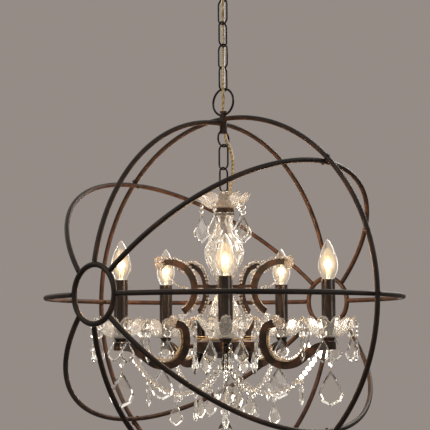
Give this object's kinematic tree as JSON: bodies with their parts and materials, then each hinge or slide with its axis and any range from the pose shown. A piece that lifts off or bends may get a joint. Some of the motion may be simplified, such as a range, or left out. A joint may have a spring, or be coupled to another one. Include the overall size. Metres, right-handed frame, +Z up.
{
  "type": "orb chandelier",
  "caption": "Round iron cage hung on a chain from a ceiling canopy, with a crystal-hung candle chandelier swinging inside it to light a room",
  "frame": {"origin": "middle of the crossbar's ceiling face, on the line that everything hangs on", "axes": "+Z up, out of the ceiling face; X through the two side rings of the cage and along the crossbar; Y through the front and back rods of the cage"},
  "size_m": [0.6256, 0.6542, 0.983],
  "materials": {
    "rust_iron": "dark brown painted iron with rust and worn bronze edges",
    "zinc_steel": "zinc plated steel",
    "bronze_sleeve": "dark bronze paint, satin",
    "phenolic": "black phenolic",
    "gold_cord": "gold-brown cord cover",
    "wire_cover": "brown wire insulation",
    "pressed_glass": "clear pressed glass",
    "bulb_glass": "clear lamp glass, thin",
    "cut_crystal": "cut and polished crystal"
  },
  "bodies": {
    "ceiling": {"ceiling_crossbar": "zinc_steel", "canopy_nipple": "zinc_steel", "ceiling_canopy": "rust_iron", "canopy_loop": "rust_iron"},
    "top_link": {"chain_top_link": "rust_iron"},
    "chain": {"upper_chain": "rust_iron", "lamp_cord_upper": "gold_cord"},
    "orb_hanger": {"orb_ring": "rust_iron"},
    "orb": {"top_stem": "rust_iron", "cross_ring": "rust_iron", "hub_ring_left": "rust_iron", "hub_ring_right": "rust_iron", "rod_front": "rust_iron", "rod_back": "rust_iron", "rod_top_left": "rust_iron", "rod_top_right": "rust_iron", "rod_bottom": "rust_iron", "rod_upper_front": "rust_iron", "rod_upper_back": "rust_iron", "rod_lower_front": "rust_iron", "rod_lower_back": "rust_iron", "ring_rivets": "rust_iron", "bottom_bolt": "rust_iron"},
    "inner_hanger": {"inner_ring": "rust_iron"},
    "inner_links": {"inner_chain": "rust_iron", "lamp_cord_inner": "gold_cord"},
    "chandelier": {"chandelier_eye": "rust_iron", "top_cap": "rust_iron", "top_dish": "pressed_glass", "collar_disc": "rust_iron", "center_stem": "rust_iron", "upper_vase": "pressed_glass", "scroll_spider": "rust_iron", "lower_vase": "pressed_glass", "hub_bowl": "rust_iron", "hub_cover": "rust_iron", "hub_finial": "rust_iron", "arm_front": "rust_iron", "arm_right": "rust_iron", "arm_back_right": "rust_iron", "arm_back_left": "rust_iron", "arm_left": "rust_iron", "arm_wires": "wire_cover", "upper_scrolls": "rust_iron", "candle_pans": "rust_iron", "bobeches": "pressed_glass", "candle_sleeves": "bronze_sleeve", "lampholders": "phenolic", "top_pendants": "cut_crystal", "pan_pendants": "cut_crystal", "arm_prisms": "cut_crystal", "hub_drops": "cut_crystal", "bead_swags": "cut_crystal", "scroll_rosettes": "cut_crystal"},
    "ball": {"crystal_ball": "cut_crystal"},
    "lamp_front": {"bulb_front": "bulb_glass"},
    "lamp_right": {"bulb_right": "bulb_glass"},
    "lamp_back_right": {"bulb_back_right": "bulb_glass"},
    "lamp_back_left": {"bulb_back_left": "bulb_glass"},
    "lamp_left": {"bulb_left": "bulb_glass"}
  },
  "joints": [
    {"name": "chain_swing_y", "type": "hinge", "parent": "ceiling", "child": "top_link", "pos_m": [0, 0, -0.0685], "axis": [0, 1, 0], "range_deg": [-12, 12], "deforming": ["lamp_cord_upper"]},
    {"name": "chain_swing_x", "type": "hinge", "parent": "top_link", "child": "chain", "pos_m": [0, 0, -0.10905], "axis": [1, 0, 0], "range_deg": [-12, 12], "deforming": ["lamp_cord_upper"]},
    {"name": "orb_turn", "type": "hinge", "parent": "chain", "child": "orb_hanger", "pos_m": [0, 0, -0.275], "axis": [0, 0, 1], "range_deg": [-45, 45]},
    {"name": "orb_tilt", "type": "hinge", "parent": "orb_hanger", "child": "orb", "pos_m": [0, 0, -0.31875], "axis": [0, 1, 0], "range_deg": [-8, 8], "deforming": ["lamp_cord_upper"]},
    {"name": "inner_ring_swing", "type": "hinge", "parent": "orb", "child": "inner_hanger", "pos_m": [0, 0, -0.34735], "axis": [1, 0, 0], "range_deg": [-4, 4], "deforming": ["lamp_cord_inner"]},
    {"name": "inner_chain_swing", "type": "hinge", "parent": "inner_hanger", "child": "inner_links", "pos_m": [0, 0, -0.3723], "axis": [0, 1, 0], "range_deg": [-4, 4], "deforming": ["lamp_cord_inner"]},
    {"name": "chandelier_turn", "type": "hinge", "parent": "inner_links", "child": "chandelier", "pos_m": [0, 0, -0.4588], "axis": [0, 0, 1], "range_deg": [-30, 30], "deforming": ["lamp_cord_inner"]},
    {"name": "ball_swing", "type": "hinge", "parent": "chandelier", "child": "ball", "pos_m": [0, 0, -0.77605], "axis": [0, 1, 0], "range_deg": [-8, 8]},
    {"name": "bulb_out_front", "type": "slide", "parent": "chandelier", "child": "lamp_front", "axis": [0, 0, 1], "range_m": [0, 0.025]},
    {"name": "bulb_out_right", "type": "slide", "parent": "chandelier", "child": "lamp_right", "axis": [0, 0, 1], "range_m": [0, 0.025]},
    {"name": "bulb_out_back_right", "type": "slide", "parent": "chandelier", "child": "lamp_back_right", "axis": [0, 0, 1], "range_m": [0, 0.025]},
    {"name": "bulb_out_back_left", "type": "slide", "parent": "chandelier", "child": "lamp_back_left", "axis": [0, 0, 1], "range_m": [0, 0.025]},
    {"name": "bulb_out_left", "type": "slide", "parent": "chandelier", "child": "lamp_left", "axis": [0, 0, 1], "range_m": [0, 0.025]}
  ]
}
